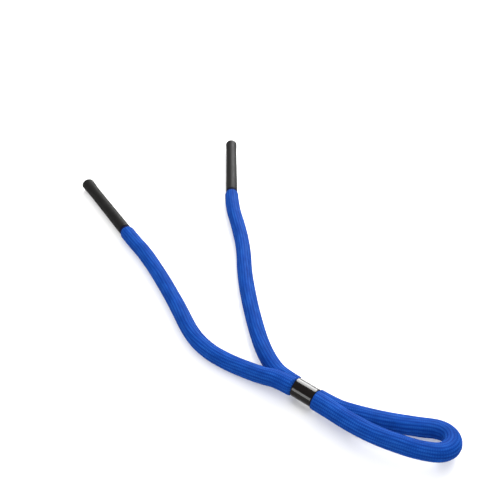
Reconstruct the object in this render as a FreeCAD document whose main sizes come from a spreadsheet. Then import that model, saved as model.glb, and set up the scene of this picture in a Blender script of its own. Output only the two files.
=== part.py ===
"""Eyeglass retainer strap: a knitted tubular cord, doubled through a sliding barrel, with a rubber
sleeve on each end that grips a spectacle temple. Millimetres, +Z up, standing on Z = 0.

The strap lies on a table: +Y points along the right sleeve to its mouth, and the loop is at -Y.
The origin is under the middle of the box round the sleeves, bindings and slider."""

import FreeCAD
import Part

import math
import os

from FreeCAD import Placement, Rotation, Vector
from Sketcher import Constraint

UP = Vector(0, 0, 1)

SIZES = {
    "cord_radius": 3.9,
    "cover_wall": 0.75,
    "shoulder_length": 2.0,
    "sleeve_cap_length": 3.6,
    "slider_cap_length": 2.2,
    "tail_radius": 2.15,
    "tail_length": 11.5,
    "tail_gap": 0.05,
    "sleeve_length": 52.0,
    "sleeve_root_radius": 3.3,
    "sleeve_waist_radius": 3.2,
    "sleeve_mouth_radius": 3.4,
    "sleeve_waist_place": 38.0,
    "sleeve_lip_round": 0.45,
    "socket_radius": 1.6,
    "tail_socket_radius": 2.2,
    "tail_socket_depth": 12.0,
    "binding_width": 1.5,
    "binding_radius": 3.1,
    "binding_round": 0.3,
    "slider_length": 10.5,
    "slider_radius": 4.3,
    "slider_bore_radius": 3.6,
    "slider_edge_round": 0.3,
    "slider_gap": 0.5,
    "neck_radius": 1.65,
    "neck_rim_radius": 2.7,
}

# The cord's route, in three stretches that meet inside the slider. Each point is a corner that the
# cord rounds. The first run of each leg is the line of its sleeve, and every run that ends inside
# the slider lies along the slider's axis.
LEFT_LEG = [
    (-33.8, 16.3, 3.95),
    (-28.1, 7.1, 4.06),
    (-20.5, -3.7, 3.9),
    (-10.9, -21.7, 3.9),
    (-1.5, -41.6, 3.9),
    (6.5, -61.1, 3.9),
    (14.7, -71.3, 3.9),
    (23.3, -77.5, 3.9),
    (31.7, -82.4, 4.3),
    (38.9, -86.9, 5.6),
    (46.6, -90.4, 7.4),
    (56.1, -97.9, 7.4),
]
LOOP = [
    (56.1, -97.9, 7.4),
    (65.6, -105.4, 7.4),
    (72.1, -111.8, 8.0),
    (82.7, -119.3, 8.1),
    (93.7, -124.3, 8.0),
    (101.3, -126.9, 7.9),
    (108.8, -127.7, 7.5),
    (114.0, -124.2, 6.6),
    (115.1, -118.3, 5.3),
    (111.4, -113.8, 4.3),
    (103.3, -112.4, 3.9),
    (90.9, -110.0, 3.9),
    (75.7, -105.7, 4.1),
    (67.4, -103.2, 5.4),
    (57.9, -95.7, 5.4),
]
RIGHT_LEG = [
    (57.9, -95.7, 5.4),
    (48.4, -88.2, 5.4),
    (43.7, -80.6, 4.1),
    (39.4, -69.3, 3.9),
    (36.3, -55.3, 3.9),
    (33.5, -38.2, 3.9),
    (31.2, -17.7, 3.9),
    (31.0, -0.2, 3.9),
    (28.1, 19.9, 3.9),
    (24.3, 37.8, 4.07),
    (24.1, 51.3, 3.95),
]
ARC_SHARE = 0.45  # of the shorter run at a corner, which its arc takes up


def make_sheet(doc):
    """The driving dimensions, one named cell each."""
    sheet = doc.addObject("Spreadsheet::Sheet", "sizes")
    for row, (name, value) in enumerate(SIZES.items(), start=1):
        sheet.set(f"A{row}", name)
        sheet.set(f"B{row}", str(value))
        sheet.setAlias(f"B{row}", name)
    doc.recompute()
    return sheet


def size(doc, name):
    """A driving dimension, as the sheet gives it."""
    return float(doc.sizes.get(name))


def vectors(route):
    """A route's points as FreeCAD vectors."""
    return [Vector(*point) for point in route]


def turned_to(point, direction):
    """The placement that carries local +Z to the direction and the local origin to the point."""
    return Placement(point, Rotation(UP, direction))


# ---- Turned pieces: PartDesign bodies made by revolving a sketch ----


def origin_feature(body, role):
    """The body's own origin plane or axis with this role."""
    return next(item for item in body.Origin.OriginFeatures if item.Role == role)


def ring_sketch(body, name, corners):
    """A closed profile beside the Z axis. Each corner is (radius, height) as sheet expressions."""
    doc = body.Document
    sketch = body.newObject("Sketcher::SketchObject", name)
    sketch.AttachmentSupport = [(origin_feature(body, "XZ_Plane"), "")]
    sketch.MapMode = "FlatFace"
    spots = [Vector(value_of(doc, radius), value_of(doc, height)) for radius, height in corners]
    count = len(spots)
    for number, spot in enumerate(spots):
        sketch.addGeometry(Part.LineSegment(spot, spots[(number + 1) % count]), False)
    for number in range(count):
        sketch.addConstraint(Constraint("Coincident", number, 2, (number + 1) % count, 1))
    for number, (radius, height) in enumerate(corners):
        spot = spots[number]
        across = sketch.addConstraint(Constraint("DistanceX", -1, 1, number, 1, spot.x))
        sketch.setExpression(f"Constraints[{across}]", sheet_terms(radius))
        if height == "0":
            sketch.addConstraint(Constraint("PointOnObject", number, 1, -1))
        else:
            along = sketch.addConstraint(Constraint("DistanceY", -1, 1, number, 1, spot.y))
            sketch.setExpression(f"Constraints[{along}]", sheet_terms(height))
    return sketch


def sheet_terms(expression):
    """The expression with each cell alias written as FreeCAD's engine reads it."""
    words = [f"sizes.{word}" if word in SIZES else word for word in expression.split()]
    return " ".join(words)


def value_of(doc, expression):
    """The number that a sum or difference of cells comes to."""
    total = 0.0
    sign = 1.0
    for word in expression.split():
        if word in "+-":
            sign = -1.0 if word == "-" else 1.0
        else:
            total += sign * (size(doc, word) if word in SIZES else float(word))
    return total


def revolved_body(doc, name, corners):
    """A body turned about its own Z axis from the profile."""
    body = doc.addObject("PartDesign::Body", name)
    body.Label = name
    sketch = ring_sketch(body, f"{name}_profile", corners)
    turn = body.newObject("PartDesign::Revolution", f"{name}_turn")
    turn.Profile = sketch
    turn.ReferenceAxis = (sketch, ["V_Axis"])
    turn.Angle = 360.0
    doc.recompute()
    return body


def round_edges(body, radius_alias, wanted):
    """Fillets the circular edges that wanted(edge) picks on the body's present shape."""
    base = body.Tip
    names = [f"Edge{number}" for number, edge in enumerate(base.Shape.Edges, start=1) if wanted(edge)]
    fillet = body.newObject("PartDesign::Fillet", f"{body.Name}_round")
    fillet.Base = (base, names)
    fillet.setExpression("Radius", f"sizes.{radius_alias}")
    body.Document.recompute()


def is_circle_at(edge, height, least_radius):
    """True for a full circle at this height whose radius is at least least_radius."""
    if not isinstance(edge.Curve, Part.Circle) or len(edge.Vertexes) > 1:
        return False
    return abs(edge.Curve.Center.z - height) < 0.01 and edge.Curve.Radius > least_radius


def make_sleeve(doc, name, root, direction):
    """A rubber sleeve: local Z = 0 is its root, where the cord's tail goes in, and +Z its mouth."""
    corners = [
        ("tail_socket_radius", "0"),
        ("sleeve_root_radius", "0"),
        ("sleeve_waist_radius", "sleeve_waist_place"),
        ("sleeve_mouth_radius", "sleeve_length"),
        ("socket_radius", "sleeve_length"),
        ("socket_radius", "tail_socket_depth"),
        ("tail_socket_radius", "tail_socket_depth"),
    ]
    body = revolved_body(doc, name, corners)
    length = size(doc, "sleeve_length")
    bore = size(doc, "tail_socket_radius")
    round_edges(body, "sleeve_lip_round", lambda edge: is_circle_at(edge, length, bore))
    body.Placement = turned_to(root, direction)
    return body


def make_binding(doc, name, root, direction):
    """The thread bound round the cord's neck, between the sleeve's root and the cord's shoulder."""
    corners = [
        ("tail_socket_radius", "tail_gap"),
        ("binding_radius", "tail_gap"),
        ("binding_radius", "tail_gap + binding_width"),
        ("tail_socket_radius", "tail_gap + binding_width"),
    ]
    body = revolved_body(doc, name, corners)
    bore = size(doc, "tail_socket_radius") + 0.1
    low = size(doc, "tail_gap")
    high = low + size(doc, "binding_width")
    round_edges(
        body,
        "binding_round",
        lambda edge: is_circle_at(edge, low, bore) or is_circle_at(edge, high, bore),
    )
    body.Placement = turned_to(root, direction)
    return body


def make_slider(doc, name, centre, direction):
    """The barrel that squeezes both strands: a sketched ring, padded evenly both ways."""
    body = doc.addObject("PartDesign::Body", name)
    body.Label = name
    sketch = body.newObject("Sketcher::SketchObject", f"{name}_ring")
    sketch.AttachmentSupport = [(origin_feature(body, "XY_Plane"), "")]
    sketch.MapMode = "FlatFace"
    for alias in ("slider_radius", "slider_bore_radius"):
        radius = size(doc, alias)
        circle = sketch.addGeometry(Part.Circle(Vector(), UP, radius), False)
        sketch.addConstraint(Constraint("Coincident", circle, 3, -1, 1))
        held = sketch.addConstraint(Constraint("Radius", circle, radius))
        sketch.setExpression(f"Constraints[{held}]", f"sizes.{alias}")
    pad = body.newObject("PartDesign::Pad", f"{name}_pad")
    pad.Profile = sketch
    pad.setExpression("Length", "sizes.slider_length")
    pad.Midplane = True
    doc.recompute()
    half = size(doc, "slider_length") / 2
    round_edges(
        body,
        "slider_edge_round",
        lambda edge: is_circle_at(edge, half, 0.0) or is_circle_at(edge, -half, 0.0),
    )
    body.Placement = turned_to(centre, direction)
    return body


# ---- The cord: runs joined by tangent arcs, with turned ends ----


def corner_arcs(points):
    """(arc start, arc middle, arc end, radius, turn in degrees) at each inner point of a route."""
    arcs = []
    for before, corner, after in zip(points, points[1:], points[2:]):
        back = before - corner
        ahead = after - corner
        reach = ARC_SHARE * min(back.Length, ahead.Length)
        back.normalize()
        ahead.normalize()
        turn = math.pi - back.getAngle(ahead)
        radius = reach / math.tan(turn / 2)
        inward = back + ahead
        inward.normalize()
        to_centre = math.hypot(reach, radius)
        middle = corner + inward * (to_centre - radius)
        arcs.append((corner + back * reach, middle, corner + ahead * reach, radius, math.degrees(turn)))
    return arcs


def route_edges(points, start_trim, end_trim):
    """The route as a chain of lines and tangent arcs, cut short at both ends."""
    first = points[0] + (points[1] - points[0]).normalize() * start_trim
    last = points[-1] + (points[-2] - points[-1]).normalize() * end_trim
    edges = []
    here = first
    for start, middle, end, _, _ in corner_arcs(points):
        edges.append(Part.LineSegment(here, start).toShape())
        edges.append(Part.Arc(start, middle, end).toShape())
        here = end
    edges.append(Part.LineSegment(here, last).toShape())
    return edges


def swept_tube(edges, radius):
    """A round solid along the edges, checked against its section times its length."""
    path = Part.Wire(edges)
    start = path.Edges[0]
    direction = start.tangentAt(start.FirstParameter)
    circle = Part.Circle(path.Vertexes[0].Point, direction, radius).toShape()
    tube = path.makePipeShell([Part.Wire([circle])], True, False)
    expected = math.pi * radius**2 * path.Length
    if abs(tube.Volume / expected - 1) > 0.01:
        raise ValueError(f"tube volume {tube.Volume:.0f}, expected {expected:.0f} mm3")
    return tube


def turned_cap(rim, full, shoulder, length):
    """A cord end about +Z: flat rim at Z = 0, round shoulder out to the full radius, then straight."""
    side = shoulder * math.sqrt(0.5)
    swell = rim + (full - rim) * math.sqrt(0.5)
    bulge = Vector(swell, 0, shoulder - side)
    edges = [
        Part.LineSegment(Vector(0, 0, 0), Vector(rim, 0, 0)).toShape(),
        Part.Arc(Vector(rim, 0, 0), bulge, Vector(full, 0, shoulder)).toShape(),
        Part.LineSegment(Vector(full, 0, shoulder), Vector(full, 0, length)).toShape(),
        Part.LineSegment(Vector(full, 0, length), Vector(0, 0, length)).toShape(),
        Part.LineSegment(Vector(0, 0, length), Vector(0, 0, 0)).toShape(),
    ]
    return Part.Face(Part.Wire(edges)).revolve(Vector(), UP, 360)


def cord_end(doc, end_point, inner_point, inset, setback, rim, stem, stem_out, cap_length):
    """The turned end of a strand, with its thin stem. inset thins it all round, for the filling."""
    full = size(doc, "cord_radius") - inset
    shoulder = size(doc, "shoulder_length")
    cap = turned_cap(rim - inset, full, shoulder - inset, cap_length - inset)
    cap.translate(Vector(0, 0, setback + inset))
    overlap = setback + inset + shoulder / 2
    rod = Part.makeCylinder(stem - inset, stem_out + overlap, Vector(0, 0, -stem_out))
    piece = cap.fuse(rod)
    piece.Placement = turned_to(end_point, inner_point - end_point)
    return piece


def sleeve_setback(doc):
    """How far the cord's shoulder is from the sleeve: the binding's width and a gap on each side."""
    return 2 * size(doc, "tail_gap") + size(doc, "binding_width")


def slider_setback(doc):
    """How far the cord's shoulder is from the slider's middle."""
    return size(doc, "slider_length") / 2 + size(doc, "slider_gap")


def sleeve_end(doc, end_point, inner_point, inset):
    """The end in a sleeve: its tail goes on past the route's end point."""
    return cord_end(
        doc,
        end_point,
        inner_point,
        inset,
        setback=sleeve_setback(doc),
        rim=size(doc, "binding_radius"),
        stem=size(doc, "tail_radius"),
        stem_out=size(doc, "tail_length"),
        cap_length=size(doc, "sleeve_cap_length"),
    )


def slider_end(doc, end_point, inner_point, inset):
    """The end in the slider: its neck reaches the slider's middle."""
    return cord_end(
        doc,
        end_point,
        inner_point,
        inset,
        setback=slider_setback(doc),
        rim=size(doc, "neck_rim_radius"),
        stem=size(doc, "neck_radius"),
        stem_out=0.0,
        cap_length=size(doc, "slider_cap_length"),
    )


def strand(doc, route, first_end, last_end, inset):
    """One stretch of the cord with both its turned ends, thinned by inset all round. Its tube is
    swept in two halves, because the loop's two ends press into each other beside the slider."""
    points = vectors(route)
    trims = {
        sleeve_end: sleeve_setback(doc) + size(doc, "sleeve_cap_length"),
        slider_end: slider_setback(doc) + size(doc, "slider_cap_length"),
    }
    edges = route_edges(points, trims[first_end], trims[last_end])
    middle = len(edges) // 2
    radius = size(doc, "cord_radius") - inset
    start = swept_tube(edges[:middle], radius).fuse(first_end(doc, points[0], points[1], inset))
    finish = swept_tube(edges[middle:], radius).fuse(last_end(doc, points[-1], points[-2], inset))
    return [start, finish]


def whole_cord(doc, inset):
    """All three stretches as one solid."""
    halves = strand(doc, LEFT_LEG, sleeve_end, slider_end, inset)
    halves += strand(doc, LOOP, slider_end, slider_end, inset)
    halves += strand(doc, RIGHT_LEG, slider_end, sleeve_end, inset)
    return halves[0].multiFuse(halves[1:]).removeSplitter()


def make_cord(doc):
    """The knitted cover and the filling inside it."""
    envelope = whole_cord(doc, 0.0)
    filling = whole_cord(doc, size(doc, "cover_wall"))
    cover = doc.addObject("Part::Feature", "strap_cover")
    cover.Shape = envelope.cut(filling)
    core = doc.addObject("Part::Feature", "strap_core")
    core.Shape = filling
    for piece in (cover, core):
        piece.Label = piece.Name
        piece.Placement = Placement()
    return [cover, core]


def report_route():
    """Prints each stretch's length and every arc's radius."""
    total = 0.0
    for name, route in (("left leg", LEFT_LEG), ("loop", LOOP), ("right leg", RIGHT_LEG)):
        points = vectors(route)
        path = Part.Wire(route_edges(points, 0.0, 0.0))
        radii = [round(arc[3], 1) for arc in corner_arcs(points)]
        turns = [round(arc[4]) for arc in corner_arcs(points)]
        total += path.Length
        print(f"{name}: {path.Length:.1f} mm, radii {radii}, turns {turns}")
    print(f"cord between the sleeves: {total:.1f} mm")


def check_document(doc, pieces):
    """Stops on a failed object or a bad shape."""
    for item in doc.Objects:
        if "Invalid" in item.State or "Error" in item.State:
            raise ValueError(f"{item.Name}: {item.State}")
    for piece in pieces:
        shape = piece.Shape
        if shape.isNull() or not shape.isValid() or not shape.Solids:
            raise ValueError(f"{piece.Label} has no valid solid")


def main():
    doc = FreeCAD.newDocument("eyeglass_strap")
    make_sheet(doc)
    left, loop, right = vectors(LEFT_LEG), vectors(LOOP), vectors(RIGHT_LEG)
    slider_centre = (left[-1] + right[0]) * 0.5
    pieces = make_cord(doc)
    for side, root, inner in (("left", left[0], left[1]), ("right", right[-1], right[-2])):
        outward = root - inner
        pieces.append(make_sleeve(doc, f"{side}_temple_sleeve", root, outward))
        pieces.append(make_binding(doc, f"{side}_end_binding", root, outward.negative()))
    pieces.append(make_slider(doc, "slider_barrel", slider_centre, loop[1] - loop[0]))
    doc.recompute()
    check_document(doc, pieces)
    report_route()
    os.makedirs("parts", exist_ok=True)
    for piece in pieces:
        piece.Shape.exportStep(f"parts/{piece.Label}.step")
        box = piece.Shape.BoundBox
        print(f"{piece.Label}: {piece.Shape.Volume:.0f} mm3, {len(piece.Shape.Solids)} solid(s), {box}")


main()
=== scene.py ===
"""Eyeglass retainer strap: a knitted cord doubled through a sliding barrel, with rubber sleeves.
Everything is in metres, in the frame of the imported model."""

import math

import bpy
import numpy as np
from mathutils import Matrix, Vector


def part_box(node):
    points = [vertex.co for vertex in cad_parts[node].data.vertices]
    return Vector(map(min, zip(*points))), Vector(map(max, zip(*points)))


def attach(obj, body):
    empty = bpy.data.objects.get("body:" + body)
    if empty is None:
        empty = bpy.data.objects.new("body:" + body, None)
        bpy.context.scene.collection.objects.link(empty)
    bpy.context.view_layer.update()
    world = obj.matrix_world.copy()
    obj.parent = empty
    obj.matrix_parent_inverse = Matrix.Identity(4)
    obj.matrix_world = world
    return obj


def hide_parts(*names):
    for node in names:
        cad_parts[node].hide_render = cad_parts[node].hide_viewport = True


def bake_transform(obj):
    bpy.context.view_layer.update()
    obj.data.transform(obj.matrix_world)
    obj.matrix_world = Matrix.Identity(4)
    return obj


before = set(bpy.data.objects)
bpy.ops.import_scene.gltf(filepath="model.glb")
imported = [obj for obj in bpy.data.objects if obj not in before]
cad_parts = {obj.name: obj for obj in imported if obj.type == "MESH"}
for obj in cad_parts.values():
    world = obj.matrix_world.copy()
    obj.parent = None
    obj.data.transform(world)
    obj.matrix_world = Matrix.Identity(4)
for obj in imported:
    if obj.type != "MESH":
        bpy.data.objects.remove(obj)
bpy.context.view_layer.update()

MM = 0.001
UP = np.array([0.0, 0.0, 1.0])
FULL_TURN = 2.0 * math.pi

# ---- The camera ----

CAMERA_PLACE = (0.0295, -0.2987, 0.260)
CAMERA_TILT = math.radians(50.0)  # 0 looks straight down

camera_data = bpy.data.cameras.new("camera")
camera_data.lens = 55.45
camera_data.sensor_width = 36.0
camera_data.clip_start = 10 * MM
camera = bpy.data.objects.new("camera", camera_data)
camera.location = CAMERA_PLACE
camera.rotation_euler = (CAMERA_TILT, 0.0, 0.0)
bpy.context.scene.collection.objects.link(camera)
bpy.context.scene.camera = camera

# ---- The cord's route: control points of three splines that meet inside the slider ----

LEFT_LEG = [
    (-0.0338, 0.0163, 0.00395),
    (-0.0281, 0.0071, 0.00406),
    (-0.0205, -0.0037, 0.0039),
    (-0.0109, -0.0217, 0.0039),
    (-0.0015, -0.0416, 0.0039),
    (0.0065, -0.0611, 0.0039),
    (0.0147, -0.0713, 0.0039),
    (0.0233, -0.0775, 0.0039),
    (0.0317, -0.0824, 0.0043),
    (0.0389, -0.0869, 0.0056),
    (0.0466, -0.0904, 0.0074),
    (0.0561, -0.0979, 0.0074),
]
LOOP = [
    (0.0561, -0.0979, 0.0074),
    (0.0656, -0.1054, 0.0074),
    (0.0721, -0.1118, 0.0080),
    (0.0827, -0.1193, 0.0081),
    (0.0937, -0.1243, 0.0080),
    (0.1013, -0.1269, 0.0079),
    (0.1088, -0.1277, 0.0075),
    (0.1140, -0.1242, 0.0066),
    (0.1151, -0.1183, 0.0053),
    (0.1114, -0.1138, 0.0043),
    (0.1033, -0.1124, 0.0039),
    (0.0909, -0.1100, 0.0039),
    (0.0757, -0.1057, 0.0041),
    (0.0674, -0.1032, 0.0054),
    (0.0579, -0.0957, 0.0054),
]
RIGHT_LEG = [
    (0.0579, -0.0957, 0.0054),
    (0.0484, -0.0882, 0.0054),
    (0.0437, -0.0806, 0.0041),
    (0.0394, -0.0693, 0.0039),
    (0.0363, -0.0553, 0.0039),
    (0.0335, -0.0382, 0.0039),
    (0.0312, -0.0177, 0.0039),
    (0.0310, -0.0002, 0.0039),
    (0.0281, 0.0199, 0.0039),
    (0.0243, 0.0378, 0.00407),
    (0.0241, 0.0513, 0.00395),
]

# ---- The cord's sizes ----

CORD_RADIUS = 3.9 * MM
WALL = 0.75 * MM  # of the knitted cover
RING_STEP = 0.215 * MM  # between the rings of the cover's mesh
LINING_EVERY = 10  # rings of the cover's outside for each one of its lining
CORE_EVERY = 6  # and for each one of the filling
CORE_INSET = 2  # rings by which the filling is shorter at each end
CORE_GAP = 0.03 * MM  # between the filling and the lining

RIBS = 18
SAMPLES_PER_RIB = 6
RIB_DEPTH = 0.085 * MM
RIDGE_POWER = 2.4  # a higher power gives each rib a flatter top
STITCH = 0.85 * MM
STITCH_DEPTH = 0.045 * MM
STITCH_LEAN = 0.9  # of the V stitches' arms, in stitches for each rib's width
MEAN_RIB_SHARE = 0.85  # of the ribs' full depth, which changes from rib to rib and along each
RIB_CHANGE = 0.3
RIB_CHANGE_LENGTH = 13.0  # in stitches
RIB_CHANGE_STEPS = (2.7, 1.9)  # in radians, from one rib to the next

# Sine waves along the cord: each one's height, its length for one radian and its start in radians
DRIFT_WAVES = ((0.07, 11.0 * MM, 0.0), (0.035, 4.3 * MM, 0.8))  # heights in radians round the cord
UNEVEN_WAVES = ((0.007, 9.3 * MM, 0.0), (0.005, 3.7 * MM, 1.3))  # heights as shares of the radius

TIGHT_FROM = 60.0  # a bend puckers above this curvature, in radians for each metre
TIGHT_RISE = 80.0  # and this much above it, fully
PUCKER_LENGTH = 2.3 * MM
PUCKER_DEPTH = 0.05 * MM

SLIDER_HALF = 5.25 * MM  # half of its length
BORE_RADIUS = 3.45 * MM  # what the strands fill of the slider's bore
BELL_LENGTH = 1.9 * MM  # along the strands, from the slider's edge to full width
BELL_RISE = 2.6 * MM  # how much wider the strands may be there
BELL_REACH = 3.0  # how far the slider shapes the strands, in bell lengths from its edge
CORNER_ROUND = 0.22 * MM  # how softly the pressed faces turn into the round ones
PRESS_GAP = 0.03 * MM  # from a pressed face to the plane between the strands
PRESS_WIDENING = 0.10  # of a pressed strand, as a share of its radius
LEAST_FACING = 0.02  # a ray that faces a plane less than this doesn't meet it
LEAST_SQUARE = 1e-6  # keeps a ray along the slider's axis from dividing by zero
LEAST_CURVING = 1e-9  # and keeps a direction in a straight stretch's bend
LOOP_APART = 32 * MM  # points of the loop nearer than this along it don't press on each other

SLACK_FROM = 74.0 * MM  # along the loop, from the slider's centre
SLACK_RISE = 7.0 * MM
SLACK_TO = 114.0 * MM
SLACK_FALL = 16.0 * MM
SLACK_DEPTH = 0.85 * MM
SLACK_POWER = 1.5  # a higher power keeps the slack nearer to the innermost rib

NECK_RADIUS = 2.12 * MM  # of the cord under its binding
BINDING_END = 1.6 * MM  # from the sleeve's root
SHOULDER_RIM = 2.95 * MM  # the radius where the shoulder starts
SHOULDER_LENGTH = 2.4 * MM


def unit(vector):
    """The vector, or each row of vectors, at length 1."""
    vector = np.asarray(vector, float)
    return vector / np.linalg.norm(vector, axis=-1, keepdims=True)


def spline_line(name, points):
    """The points of the route's NURBS spline, as Blender gives them for a curve with no bevel."""
    curve = bpy.data.curves.new(name, "CURVE")
    curve.dimensions = "3D"
    curve.resolution_u = 64
    spline = curve.splines.new("NURBS")
    spline.points.add(len(points) - 1)
    for place, point in zip(spline.points, points):
        place.co = (*point, 1.0)
    spline.order_u = 3
    spline.use_endpoint_u = True
    holder = bpy.data.objects.new(name, curve)
    mesh = bpy.data.meshes.new_from_object(holder)
    line = np.array([vertex.co for vertex in mesh.vertices])
    bpy.data.objects.remove(holder)
    bpy.data.meshes.remove(mesh)
    return line


def lengths_along(line):
    """How far along the line each of its points is."""
    return np.concatenate([[0.0], np.cumsum(np.linalg.norm(np.diff(line, axis=0), axis=1))])


def evenly(line, step):
    """Points on the line at an even spacing near the step, its two ends among them."""
    along = lengths_along(line)
    wanted = np.linspace(0.0, along[-1], max(2, round(along[-1] / step) + 1))
    return np.stack([np.interp(wanted, along, line[:, axis]) for axis in range(3)], axis=1)


def carried_axes(line):
    """The line's direction at each point, and two cross directions carried along it without twist."""
    ahead = unit(np.gradient(line, axis=0))
    side = unit(np.cross(ahead[0], UP))
    sides = []
    for direction in ahead:
        side = unit(side - direction * (side @ direction))
        sides.append(side)
    sides = np.array(sides)
    return ahead, sides, np.cross(ahead, sides)


def smooth(value):
    """0 to 1 with no corner at either end."""
    value = np.clip(value, 0.0, 1.0)
    return value * value * (3.0 - 2.0 * value)


def sum_of(waves, along):
    """The sum of the sine waves at each place along the cord."""
    return sum(height * np.sin(along / length + start) for height, length, start in waves)


left_line = evenly(spline_line("left_line", LEFT_LEG), RING_STEP)
loop_line = evenly(spline_line("loop_line", LOOP), RING_STEP)
right_line = evenly(spline_line("right_line", RIGHT_LEG), RING_STEP)

slider_low, slider_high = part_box("slider_barrel")
SLIDER_CENTRE = (np.array(slider_low) + np.array(slider_high)) / 2
SLIDER_AXIS = unit(np.array(LOOP[1]) - np.array(LOOP[0]))
FAR = 0.05  # a reach that limits nothing


def nearest_of(line, other, apart=0.0):
    """The other line's nearest point to each point of this one. With apart, the two lines are the
    same one, and only points at least that far along it count."""
    spans = np.linalg.norm(other[None] - line[:, None], axis=2)
    if apart:
        along = lengths_along(line)
        spans[np.abs(along[None] - along[:, None]) < apart] = FAR
    return other[spans.argmin(axis=1)], spans.min(axis=1)


def soft_least(reaches):
    """The least of the reaches, rounded off where two of them are nearly equal."""
    low = np.min(reaches, axis=0)
    return low - CORNER_ROUND * np.log(sum(np.exp((low - reach) / CORNER_ROUND) for reach in reaches))


def reach_to_plane(rays, normals, distances):
    """How far each ray goes before it meets its ring's plane."""
    facing = np.einsum("rnk,rk->rn", rays, normals)
    reach = distances[:, None] / np.maximum(facing, LEAST_FACING)
    return np.where(facing > LEAST_FACING, reach, FAR)


def reach_to_bore(line, rays):
    """How far each ray goes before it meets the slider's bore, which opens like a bell outside it."""
    offset = line - SLIDER_CENTRE
    out = np.abs(offset @ SLIDER_AXIS) - SLIDER_HALF
    share = np.maximum(out, 0.0) / BELL_LENGTH
    bell = np.sqrt(1.0 - (1.0 - np.minimum(share, 1.0)) ** 2)
    radius = BORE_RADIUS + BELL_RISE * (bell + np.maximum(share - 1.0, 0.0))
    across = offset - np.outer(offset @ SLIDER_AXIS, SLIDER_AXIS)
    flat = rays - (rays @ SLIDER_AXIS)[..., None] * SLIDER_AXIS
    # The reach is the larger root of square * reach**2 + 2 * linear * reach + rest = 0.
    square = np.maximum((flat**2).sum(-1), LEAST_SQUARE)
    linear = np.einsum("rnk,rk->rn", flat, across)
    rest = ((across**2).sum(-1) - radius**2)[:, None]
    root = np.sqrt(np.maximum(linear * linear - square * rest, 0.0))
    inside = (share < BELL_REACH)[:, None] & (rest < 0.0)
    return np.where(inside, (-linear + root) / square, FAR)


def sleeve_profile(along):
    """The cord's radius by the distance from the sleeve: thin under the binding, then a shoulder."""
    share = np.clip((along - BINDING_END) / SHOULDER_LENGTH, 0.0, 1.0)
    shoulder = SHOULDER_RIM + (CORD_RADIUS - SHOULDER_RIM) * np.sqrt(1.0 - (1.0 - share) ** 2)
    return np.where(along < BINDING_END, NECK_RADIUS, shoulder)


def knit_relief(rib, stitch):
    """How far the knit stands out or in: ribs, each a column of small V stitches."""
    across = rib % 1.0
    number = np.floor(rib)
    by_rib, by_start = RIB_CHANGE_STEPS
    change = np.sin(number * by_rib) * np.sin(stitch / RIB_CHANGE_LENGTH + number * by_start)
    depth = MEAN_RIB_SHARE + RIB_CHANGE * change
    ridge = 1.0 - np.abs(2.0 * across - 1.0) ** RIDGE_POWER
    from_middle = np.abs(across - 0.5)
    wave = 0.5 + 0.5 * np.cos(FULL_TURN * (stitch + STITCH_LEAN * from_middle))
    return RIB_DEPTH * depth * (ridge - 1.0) + STITCH_DEPTH * ridge * (wave - 0.5)


def bend_puckers(ahead, along, rays):
    """Small creases across the inside of a tight bend."""
    curving = np.gradient(ahead, along, axis=0)
    tight = smooth((np.linalg.norm(curving, axis=1) - TIGHT_FROM) / TIGHT_RISE)
    inward = np.clip(np.einsum("rnk,rk->rn", rays, unit(curving + LEAST_CURVING)), 0.0, 1.0)
    crease = np.cos(FULL_TURN * along / PUCKER_LENGTH) - 1.0
    return PUCKER_DEPTH * tight[:, None] * inward**2 * crease[:, None]


def fold_slack(along, rays, inward):
    """The loose knit that gathers on the inside of the loop, just after its fold."""
    share = smooth((along - SLACK_FROM) / SLACK_RISE) * smooth((SLACK_TO - along) / SLACK_FALL)
    facing = np.clip(np.einsum("rnk,rk->rn", rays, inward), 0.0, 1.0)
    return SLACK_DEPTH * share[:, None] * facing**SLACK_POWER


def strand_sections(line, partner, gap, sleeve_at):
    """The rings' rays, and how far the cover's outside and its lining reach along each. sleeve_at
    is 0 or -1, the end of the line that is at a sleeve, or None for the loop."""
    ahead, sides, ups = carried_axes(line)
    count = RIBS * SAMPLES_PER_RIB
    along = lengths_along(line)
    even_turn = np.linspace(0.0, FULL_TURN, count, endpoint=False)
    turn = even_turn[None] + sum_of(DRIFT_WAVES, along)[:, None]
    rays = sides[:, None] * np.cos(turn)[..., None] + ups[:, None] * np.sin(turn)[..., None]
    radius = np.full(len(line), CORD_RADIUS)
    if sleeve_at is not None:
        radius = sleeve_profile(along if sleeve_at == 0 else along[-1] - along)
    pressed = smooth(1.0 - gap / (2.0 * CORD_RADIUS))
    radius = radius * (1.0 + PRESS_WIDENING * pressed + sum_of(UNEVEN_WAVES, along))
    rib = np.arange(count)[None] / SAMPLES_PER_RIB
    relief = knit_relief(rib, along[:, None] / STITCH)
    relief = relief + bend_puckers(ahead, along, rays)
    limits = [
        reach_to_plane(rays, unit(partner - line), gap / 2 - PRESS_GAP),
        reach_to_plane(rays, np.tile(-UP, (len(line), 1)), line[:, 2]),
        reach_to_bore(line, rays),
    ]
    even = np.repeat(radius[:, None], count, axis=1)
    if sleeve_at is None:
        even = even + fold_slack(along, rays, unit(partner - line))
    thinning = np.minimum(1.0, radius / CORD_RADIUS)[:, None]
    outer = soft_least([even + relief * thinning, *limits])
    inner = soft_least([even, *limits]) - WALL
    return rays, outer, inner


# ---- The cord's pieces ----


def new_piece(name, vertices, faces, weave=None):
    """A smooth mesh object. weave gives each face corner its place in the material's pattern."""
    mesh = bpy.data.meshes.new(name)
    mesh.from_pydata([tuple(vertex) for vertex in vertices], [], faces)
    mesh.update()
    for polygon in mesh.polygons:
        polygon.use_smooth = True
    if weave is not None:
        layer = mesh.uv_layers.new(name="weave")
        layer.data.foreach_set("uv", np.asarray(weave, np.float32).ravel())
    piece = bpy.data.objects.new(name, mesh)
    bpy.context.scene.collection.objects.link(piece)
    return piece


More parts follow.
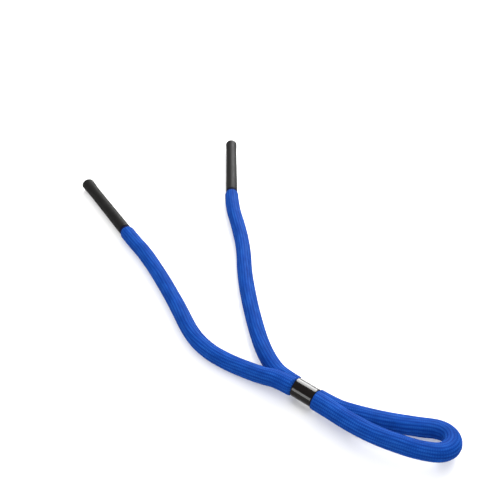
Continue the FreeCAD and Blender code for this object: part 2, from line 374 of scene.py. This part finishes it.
def skin(rings, count, start=0, flip=False, closed=False):
    """The faces between successive rings of count vertices, from the vertex number start on.
    Closed has faces from the last ring to the first one too."""
    faces = []
    for ring in range(rings if closed else rings - 1):
        low = start + ring * count
        high = start + (ring + 1) % rings * count
        for place in range(count):
            following = (place + 1) % count
            face = (low + place, low + following, high + following, high + place)
            faces.append(face[::-1] if flip else face)
    return faces


def cover_piece(name, line, rays, outer, inner):
    """The knitted cover: a tube with a real wall, closed at its rims."""
    count = rays.shape[1]
    chosen = np.unique(np.append(np.arange(0, len(line), LINING_EVERY), len(line) - 1))
    shell = (line[:, None] + rays * outer[..., None]).reshape(-1, 3)
    lining = (line[chosen, None] + rays[chosen] * inner[chosen, :, None]).reshape(-1, 3)
    base = len(shell)
    faces = skin(len(line), count) + skin(len(chosen), count, base, flip=True)
    last_shell = base - count
    last_lining = base + len(lining) - count
    for place in range(count):
        following = (place + 1) % count
        shell_edge = (last_shell + place, last_shell + following)
        lining_edge = (last_lining + following, last_lining + place)
        faces.append((place, base + place, base + following, following))
        faces.append((*shell_edge, *lining_edge))
    along = lengths_along(line) / STITCH
    heights = np.concatenate([np.repeat(along, count), np.repeat(along[chosen], count)])
    weave = []
    for face in faces:
        places = [number % count for number in face]
        wrapped = max(places) - min(places) > count // 2
        for number, place in zip(face, places):
            across = place + (count if wrapped and place < count // 2 else 0)
            weave.append((across / SAMPLES_PER_RIB, heights[number]))
    return new_piece(name, np.concatenate([shell, lining]), faces, weave)


def core_piece(name, line, rays, inner):
    """The soft filling inside the cover."""
    stop = len(line) - CORE_INSET
    chosen = np.unique(np.append(np.arange(CORE_INSET, stop, CORE_EVERY), stop - 1))
    every = SAMPLES_PER_RIB // 2
    spots = rays[chosen][:, ::every]
    depth = inner[chosen][:, ::every] - CORE_GAP
    count = spots.shape[1]
    vertices = (line[chosen, None] + spots * depth[..., None]).reshape(-1, 3)
    ends = np.array([line[chosen[0]], line[chosen[-1]]])
    base = len(vertices)
    faces = skin(len(chosen), count)
    for place in range(count):
        following = (place + 1) % count
        faces.append((base, following, place))
        faces.append((base + 1, base - count + place, base - count + following))
    return new_piece(name, np.concatenate([vertices, ends]), faces)


# ---- Materials ----


def add_node(tree, kind, inputs=None, **settings):
    """A new shader node, with each named input either linked or set."""
    made = tree.nodes.new("ShaderNode" + kind)
    for name, value in settings.items():
        setattr(made, name, value)
    for place, value in (inputs or {}).items():
        if isinstance(value, bpy.types.NodeSocket):
            tree.links.new(value, made.inputs[place])
        else:
            made.inputs[place].default_value = value
    return made


def calc(tree, operation, *values):
    """The output of a math node."""
    return add_node(tree, "Math", dict(enumerate(values)), operation=operation).outputs[0]


def weighted(tree, parts, start=0.0):
    """The start plus each part's value times its weight."""
    total = start
    for value, weight in parts:
        total = calc(tree, "MULTIPLY_ADD", value, weight, total)
    return total


def remap(tree, value, low, high, new_low=0.0, new_high=1.0):
    """The value moved from the range low to high to the new range, and held inside it."""
    inputs = dict(enumerate((value, low, high, new_low, new_high)))
    return add_node(tree, "MapRange", inputs).outputs[0]


def blended(tree, share, low, high):
    """A colour between two, by the share."""
    mix = add_node(tree, "Mix", {0: share, 6: low, 7: high}, data_type="RGBA")
    return mix.outputs[2]


def colour(red, green, blue):
    """A linear colour from the 0 to 255 values of a screen colour."""
    linear = []
    for value in (red, green, blue):
        value /= 255.0
        linear.append(value / 12.92 if value <= 0.04045 else ((value + 0.055) / 1.055) ** 2.4)
    return (*linear, 1.0)


def new_material(name, **uniform):
    """A material, its node tree and its shader, with the uniform values set on the shader."""
    material = bpy.data.materials.new(name)
    material.use_nodes = True
    shader = material.node_tree.nodes["Principled BSDF"]
    for socket, value in uniform.items():
        shader.inputs[socket.replace("_", " ")].default_value = value
    return material, material.node_tree, shader


def noise(tree, place, scale=1.0, detail=3.0, roughness=0.55):
    """A noise texture's value at the place. On object places the scale is for each metre."""
    inputs = {"Vector": place, "Scale": scale, "Detail": detail, "Roughness": roughness}
    return add_node(tree, "TexNoise", inputs).outputs["Fac"]


def set_bump(tree, shader, height, distance, strength=1.0):
    """Bumps the shader's surface by the height."""
    bump = add_node(tree, "Bump", {"Height": height, "Distance": distance, "Strength": strength})
    tree.links.new(bump.outputs["Normal"], shader.inputs["Normal"])


def object_place(tree):
    """The surface point's own place, in metres."""
    return add_node(tree, "TexCoord").outputs["Object"]


def weave_place(tree):
    """The surface point's two weave numbers: rib and stitch on a cover, turns round the axis and
    centimetres along the section on a turned piece, and across and along a binding's thread."""
    weave = add_node(tree, "UVMap", uv_map="weave").outputs["UV"]
    place = add_node(tree, "SeparateXYZ", {0: weave})
    return place.outputs["X"], place.outputs["Y"]


def scaled_place(tree, across, along, across_scale, along_scale):
    """A texture place made from two numbers, each times its own scale."""
    scaled_across = calc(tree, "MULTIPLY", across, across_scale)
    scaled_along = calc(tree, "MULTIPLY", along, along_scale)
    return add_node(tree, "CombineXYZ", {0: scaled_across, 1: scaled_along}).outputs[0]


def wave_of(tree, turns):
    """A cosine of so many turns, from 0 to 1."""
    cosine = calc(tree, "COSINE", calc(tree, "MULTIPLY", turns, FULL_TURN))
    return calc(tree, "MULTIPLY_ADD", cosine, 0.5, 0.5)


def knit_material(name, deep_and_valley_shade, mid, bright_and_ridge_highlight):
    """Knitted yarn: ribs of V stitches with fibres along the yarn and a soft uneven tone, with painted
    shade in the valleys between ribs and stitches and a painted highlight on their tops.
    """
    material, tree, shader = new_material(
        name,
        Sheen_Weight=0.01,
        Sheen_Roughness=0.45,
        Sheen_Tint=(0.15, 0.42, 1.0, 1.0),
        Specular_IOR_Level=0.02,
    )
    rib, stitch = weave_place(tree)
    across = calc(tree, "FRACT", rib)
    from_middle = calc(tree, "ABSOLUTE", calc(tree, "SUBTRACT", across, 0.5))
    phase = calc(tree, "MULTIPLY_ADD", from_middle, STITCH_LEAN, stitch)
    wave = wave_of(tree, phase)
    edge = calc(tree, "MULTIPLY", from_middle, 2.0)
    ridge = calc(tree, "SUBTRACT", 1.0, calc(tree, "POWER", edge, RIDGE_POWER))

    yarn = scaled_place(tree, rib, phase, across_scale=7.0, along_scale=1.6)
    fibre = noise(tree, yarn, detail=4.0, roughness=0.65)
    column = scaled_place(tree, rib, stitch, across_scale=0.9, along_scale=0.09)
    streak = noise(tree, column, detail=2.0)
    patch = noise(tree, object_place(tree), scale=160.0, detail=2.0)

    # ridge and wave paint shade into the knit's valleys and a highlight onto its tops; fibre and
    # streak are the yarn's own uneven tone
    painted_shade_and_tone_parts = ((ridge, 0.30), (wave, 0.16), (fibre, 0.34), (streak, 0.55))
    tone = weighted(tree, painted_shade_and_tone_parts, start=-0.16)
    low = blended(tree, remap(tree, tone, 0.05, 0.6), deep_and_valley_shade, mid)
    base = blended(tree, remap(tree, tone, 0.55, 0.95), low, bright_and_ridge_highlight)
    shade = remap(tree, patch, 0.3, 0.7, 0.9, 1.08)
    varied = add_node(tree, "HueSaturation", {"Value": shade, "Color": base})
    tree.links.new(varied.outputs["Color"], shader.inputs["Base Color"])
    tree.links.new(remap(tree, fibre, 0.2, 0.8, 0.62, 0.85), shader.inputs["Roughness"])
    height = weighted(tree, ((fibre, 0.8), (wave, 0.4)))
    set_bump(tree, shader, height, distance=0.09 * MM, strength=0.8)
    return material


def rubber_material():
    """Matt black rubber with a fine grain, a little dust and faint lengthwise streaks."""
    material, tree, shader = new_material("sleeve_rubber", Specular_IOR_Level=0.03)
    turn, height = weave_place(tree)
    streak = noise(tree, scaled_place(tree, turn, height, across_scale=9.0, along_scale=1.3))
    grain = noise(tree, object_place(tree), scale=2600.0)
    dust = noise(tree, object_place(tree), scale=420.0, detail=4.0)
    share = weighted(tree, ((dust, 0.5), (streak, 0.5)))
    base = blended(tree, share, colour(13, 13, 13), colour(36, 35, 34))
    tree.links.new(base, shader.inputs["Base Color"])
    tree.links.new(remap(tree, dust, 0.3, 0.7, 0.48, 0.66), shader.inputs["Roughness"])
    relief = weighted(tree, ((streak, 0.8),), start=grain)
    set_bump(tree, shader, relief, distance=0.035 * MM, strength=0.7)
    return material


def slider_material():
    """Glossy near-black barrel, slightly brown, with hair scratches round it."""
    material, tree, shader = new_material(
        "slider_barrel",
        Coat_Weight=1.0,
        Coat_Roughness=0.07,
        Coat_IOR=1.2,
        Specular_IOR_Level=0.0,
    )
    turn, height = weave_place(tree)
    hairs_place = scaled_place(tree, turn, height, across_scale=1.5, along_scale=60.0)
    hairs = noise(tree, hairs_place, detail=4.0)
    cloud = noise(tree, object_place(tree), scale=300.0)
    base = blended(tree, cloud, colour(6, 5, 5), colour(22, 16, 15))
    tree.links.new(base, shader.inputs["Base Color"])
    tree.links.new(remap(tree, hairs, 0.3, 0.7, 0.14, 0.24), shader.inputs["Roughness"])
    set_bump(tree, shader, hairs, distance=0.006 * MM, strength=0.35)
    return material


def thread_material():
    """Navy binding thread with its own twist."""
    material, tree, shader = new_material(
        "binding_thread",
        Roughness=0.75,
        Specular_IOR_Level=0.05,
    )
    across, along = weave_place(tree)
    twists = weighted(tree, ((along, 3.0),), start=across)
    twist = calc(tree, "SINE", calc(tree, "MULTIPLY", twists, FULL_TURN))
    share = calc(tree, "MULTIPLY_ADD", twist, 0.5, 0.5)
    # the colour follows the twist's bump: painted shade in its grooves, lighter navy on its raised
    # turns
    base = blended(tree, share, colour(3, 6, 26), colour(9, 18, 64))
    tree.links.new(base, shader.inputs["Base Color"])
    set_bump(tree, shader, share, distance=0.03 * MM, strength=0.8)
    return material


def filling_material():
    """Loose pale fibre filling."""
    material, tree, shader = new_material("strap_filling", Roughness=0.95)
    fibre = noise(tree, object_place(tree), scale=1800.0, detail=5.0)
    base = blended(tree, fibre, colour(170, 170, 168), colour(228, 228, 226))
    tree.links.new(base, shader.inputs["Base Color"])
    set_bump(tree, shader, fibre, distance=0.15 * MM)
    return material


# The darkest blue is also the painted shade in the knit's valleys, and the lightest blue is also the
# painted highlight on its ridges
KNIT = knit_material("strap_cover", colour(4, 33, 98), colour(12, 59, 140), colour(38, 94, 180))
RUBBER = rubber_material()
GLOSS = slider_material()
THREAD = thread_material()
FILLING = filling_material()


def finish_piece(piece, material, slot, *nodes):
    """Gives the piece its material, and hides the CAD nodes that it stands for. slot is not used."""
    piece.data.materials.append(material)
    if nodes:
        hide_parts(*nodes)


# ---- Turned pieces ----

WEAVE_UNIT = 10 * MM  # along a turned piece's section


def cross_axes(direction):
    """A level direction across the given one, and the direction across both."""
    sideways = unit(np.cross(direction, UP))
    return sideways, np.cross(sideways, direction)


def turned_piece(name, origin, direction, profile, count, widening=None):
    """A closed shape turned about the direction. The profile's (radius, height) corners run round
    its section. widening gives a share by height, by which the section is wider than round."""
    sideways, upward = cross_axes(direction)
    vertices = []
    for radius, height in profile:
        wide = 1.0 + (widening(height) if widening else 0.0)
        for angle in np.linspace(0.0, FULL_TURN, count, endpoint=False):
            offset = sideways * math.cos(angle) * wide + upward * math.sin(angle) / wide
            vertices.append(origin + np.asarray(direction) * height + offset * radius)
    corners = [(radius, height, 0.0) for radius, height in [*profile, profile[0]]]
    along = lengths_along(np.array(corners)) / WEAVE_UNIT
    weave = []
    for low, high in zip(along, along[1:]):
        for place in range(count):
            left, right = place / count, (place + 1) / count
            weave += [(left, low), (right, low), (right, high), (left, high)]
    return new_piece(name, vertices, skin(len(profile), count, closed=True), weave)


def rounded(start, corner, end, steps=6):
    """A quarter turn from start to end, with the corner outside it."""
    start, corner, end = (np.array(point) for point in (start, corner, end))
    centre = start + end - corner
    from_start, from_end = start - centre, end - centre
    turns = np.linspace(0.0, math.pi / 2, steps)
    return [tuple(centre + from_start * math.cos(turn) + from_end * math.sin(turn)) for turn in turns]


SLEEVE_LENGTH = 52.0 * MM
SLEEVE_RADIUS = 3.3 * MM  # at its root
WAIST_DEPTH = 0.12 * MM
WAIST_SHARE = 0.7  # of the length, from the root to the thinnest place
MOUTH_FLARE = 0.2 * MM
FLARE_FROM = 0.78  # as a share of the length
FLARE_SHARE = 0.2
FLAT_FROM = 0.75  # where the mouth's flatness starts, as a share of the length
SOCKET_RADIUS = 1.6 * MM  # for the temple's tip
TAIL_SOCKET_RADIUS = 2.2 * MM
TAIL_SOCKET_DEPTH = 12.0 * MM


def sleeve_radius(height):
    """The sleeve's outer radius: a slight waist, and a mouth stretched a little by use."""
    share = height / SLEEVE_LENGTH
    waist = SLEEVE_RADIUS - WAIST_DEPTH * smooth(share / WAIST_SHARE)
    return waist + MOUTH_FLARE * smooth((share - FLARE_FROM) / FLARE_SHARE)


def make_sleeve(side, root, direction, flatness):
    """A rubber sleeve: the cord's tail is in its root, and a temple tip goes into its mouth. The
    flatness is how much wider than round its mouth has become."""
    root_round, mouth_round, socket_round = 0.25 * MM, 0.8 * MM, 0.2 * MM
    side_margin, side_rows = 1.5 * MM, 45
    socket_margin, socket_rows = 2 * MM, 12
    radius = sleeve_radius(0.0)
    profile = [(TAIL_SOCKET_RADIUS, 0.0)]
    profile += rounded((radius - root_round, 0.0), (radius, 0.0), (radius, root_round))
    for height in np.linspace(side_margin, SLEEVE_LENGTH - side_margin, side_rows):
        profile.append((sleeve_radius(height), height))
    radius = sleeve_radius(SLEEVE_LENGTH)
    side_end = (radius, SLEEVE_LENGTH - mouth_round)
    profile += rounded(side_end, (radius, SLEEVE_LENGTH), (radius - mouth_round, SLEEVE_LENGTH))
    socket_edge = (SOCKET_RADIUS + socket_round, SLEEVE_LENGTH)
    socket_start = (SOCKET_RADIUS, SLEEVE_LENGTH - socket_round)
    profile += rounded(socket_edge, (SOCKET_RADIUS, SLEEVE_LENGTH), socket_start)
    for height in np.linspace(SLEEVE_LENGTH - socket_margin, TAIL_SOCKET_DEPTH, socket_rows):
        profile.append((SOCKET_RADIUS, height))
    profile.append((TAIL_SOCKET_RADIUS, TAIL_SOCKET_DEPTH))

    def widening(height):
        return flatness * smooth((height / SLEEVE_LENGTH - FLAT_FROM) / (1.0 - FLAT_FROM))

    piece = turned_piece(f"{side}_sleeve", root, direction, profile[::-1], count=64, widening=widening)
    finish_piece(piece, RUBBER, "sleeve_rubber", f"{side}_temple_sleeve")
    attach(piece, "root")


def make_tail(side, root, direction):
    """The cord's thin tail, pressed into the sleeve's root."""
    radius, length, end_round = 2.1 * MM, 11.4 * MM, 0.8 * MM
    pinhole = 0.02 * MM  # what a turned shape leaves open on its axis
    start, end_margin, rows = -0.4 * MM, 1 * MM, 12
    profile = [(pinhole, start), (radius, start)]
    profile += [(radius, height) for height in np.linspace(0.0, length - end_margin, rows)]
    profile += rounded((radius, length - end_round), (radius, length), (radius - end_round, length))
    profile.append((pinhole, length))
    piece = turned_piece(f"{side}_tail", root, direction, profile[::-1], count=48)
    finish_piece(piece, KNIT, "strap_cover")
    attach(piece, "root")
    return piece


def make_binding(side, root, direction):
    """Turns of thread wound round the cord's neck between the sleeve and the cord's shoulder."""
    thread, wound = 0.13 * MM, 2.98 * MM  # the thread's radius, and that of its winding
    start, width = 0.2 * MM, 1.2 * MM
    turns, rings_per_turn, count = 6, 56, 10
    weave_rings = 3.0  # rings for each 1 of the weave's number along the thread
    sideways, upward = cross_axes(direction)
    wound_turns = np.arange(turns * rings_per_turn + 1) / rings_per_turn
    angle = FULL_TURN * wound_turns
    out = sideways * np.cos(angle)[:, None] + upward * np.sin(angle)[:, None]
    line = root + np.outer(start + wound_turns / turns * width, direction) + out * wound
    around = np.linspace(0.0, FULL_TURN, count, endpoint=False)[None, :, None]
    spots = out[:, None] * np.cos(around) + np.asarray(direction) * np.sin(around)
    vertices = (line[:, None] + spots * thread).reshape(-1, 3)
    faces = skin(len(line), count, flip=True)
    faces.append(tuple(range(count)))
    faces.append(tuple(range(len(vertices) - 1, len(vertices) - count - 1, -1)))
    weave = []
    for face in faces:
        for number in face:
            weave.append((number % count / count, number // count / weave_rings))
    piece = new_piece(f"{side}_binding", vertices, faces, weave)
    finish_piece(piece, THREAD, "binding_thread", f"{side}_end_binding")
    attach(piece, "root")
    return piece


def make_slider():
    """The barrel: a short tube with rounded edges."""
    outer, inner, half = 4.3 * MM, 3.6 * MM, SLIDER_HALF
    outer_round, inner_round, bore_margin = 0.34 * MM, 0.3 * MM, 0.6 * MM
    outer_rows, bore_rows = 24, 8
    outer_heights = np.linspace(-half + outer_round, half - outer_round, outer_rows)
    bore_heights = np.linspace(half - bore_margin, -half + bore_margin, bore_rows)
    outside = [(outer, height) for height in outer_heights]
    bore = [(inner, height) for height in bore_heights]
    outer_top = rounded((outer, half - outer_round), (outer, half), (outer - outer_round, half))
    inner_top = rounded((inner + inner_round, half), (inner, half), (inner, half - inner_round))
    inner_base = rounded((inner, -half + inner_round), (inner, -half), (inner + inner_round, -half))
    outer_base = rounded((outer - outer_round, -half), (outer, -half), (outer, -half + outer_round))
    profile = outside + outer_top[1:] + inner_top + bore + inner_base + outer_base[:-1]
    piece = turned_piece("slider", SLIDER_CENTRE, SLIDER_AXIS, profile[::-1], count=96)
    finish_piece(piece, GLOSS, "slider_barrel", "slider_barrel")
    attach(piece, "slider")
    return piece


# ---- The strap ----


def make_strand(name, line, partner, gap, sleeve_at):
    """One stretch of the strap: its cover and its filling, both blended to the slider. The partner is
    the strand that it presses on."""
    rays, outer, inner = strand_sections(line, partner, gap, sleeve_at)
    cover = cover_piece(f"{name}_cover", line, rays, outer, inner)
    core = core_piece(f"{name}_core", line, rays, inner)
    finish_piece(cover, KNIT, "strap_cover", "strap_cover")
    finish_piece(core, FILLING, "strap_filling", "strap_core")
    for piece in (cover, core):
        if name == "loop":
            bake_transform(piece)
        else:
            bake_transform(piece)


for side, end_point, next_point, flatness in (
    ("left", LEFT_LEG[0], LEFT_LEG[1], 0.05),
    ("right", RIGHT_LEG[-1], RIGHT_LEG[-2], 0.01),
):
    root = np.array(end_point)
    outward = unit(root - np.array(next_point))
    make_sleeve(side, root, outward, flatness)
    make_tail(side, root, outward)
    make_binding(side, root, -outward)
barrel = make_slider()

near_right, left_gap = nearest_of(left_line, right_line)
near_left, right_gap = nearest_of(right_line, left_line)
near_loop, loop_gap = nearest_of(loop_line, loop_line, LOOP_APART)
make_strand("left", left_line, near_right, left_gap, 0)
make_strand("right", right_line, near_left, right_gap, -1)
make_strand("loop", loop_line, near_loop, loop_gap, None)

# ---- Floor and lights ----

FLOOR_REACH = 30.0

edge_signs = ((-1, -1), (1, -1), (1, 1), (-1, 1))
floor_corners = [(x * FLOOR_REACH, y * FLOOR_REACH, 0.0) for x, y in edge_signs]
floor_mesh = bpy.data.meshes.new("floor")
floor_mesh.from_pydata(floor_corners, [], [(0, 1, 2, 3)])
floor = bpy.data.objects.new("floor", floor_mesh)
bpy.context.scene.collection.objects.link(floor)
pale = (0.9, 0.9, 0.9, 1.0)
floor_mesh.materials.append(new_material("floor", Roughness=0.6, Base_Color=pale)[0])


def add_light(name, place, target, size, power):
    """A soft rectangular light at the place, facing the target, that the camera doesn't see."""
    data = bpy.data.lights.new(name, "AREA")
    data.shape = "RECTANGLE"
    data.size, data.size_y = size
    data.energy = power
    light = bpy.data.objects.new(name, data)
    light.location = place
    light.visible_camera = False
    light.rotation_euler = (Vector(target) - Vector(place)).to_track_quat("-Z", "Y").to_euler()
    bpy.context.scene.collection.objects.link(light)
    return light


MIDDLE = (0.03, -0.03, 0.0)
AT_BARREL = (0.057, -0.097, 0.006)
add_light("key", (0.45, 0.95, 0.80), MIDDLE, size=(0.9, 0.8), power=16.0)

# The fill light keeps the shadows faint: only the slider shades it, and it shows in no gloss.
fill = add_light("fill", (0.03, -0.03, 2.2), MIDDLE, size=(1.6, 1.6), power=26.0)
shading = bpy.data.collections.new("what shades the fill light")
shading.objects.link(barrel)
fill.light_linking.blocker_collection = shading
fill.visible_glossy = False

# The strips show only in gloss, as the slider's two long reflections.
for name, place, size, power in (
    ("front strip", (-0.93, -0.73, 0.22), (0.22, 0.62), 8.0),
    ("back strip", (0.270, 0.724, 0.536), (0.35, 0.93), 37.0),
):
    add_light(name, place, AT_BARREL, size, power).visible_diffuse = False

# The sky brightens from the horizon up, with a brighter band low down, behind the floor's far edge.
world = bpy.data.worlds.new("world")
bpy.context.scene.world = world
world.use_nodes = True
sky = world.node_tree
directions = add_node(sky, "TexCoord").outputs["Generated"]
up_share = add_node(sky, "SeparateXYZ", {0: directions}).outputs["Z"]
overhead = remap(sky, up_share, 0.0, 1.0, 0.6, 1.0)
backdrop = remap(sky, up_share, 0.10, 0.16, 1.05, 0.0)
sky_strength = calc(sky, "MAXIMUM", overhead, backdrop)
sky.links.new(sky_strength, sky.nodes["Background"].inputs["Strength"])
sky.nodes["Background"].inputs["Color"].default_value = (1.0, 1.0, 1.0, 1.0)
bpy.context.scene.view_settings.view_transform = "Standard"
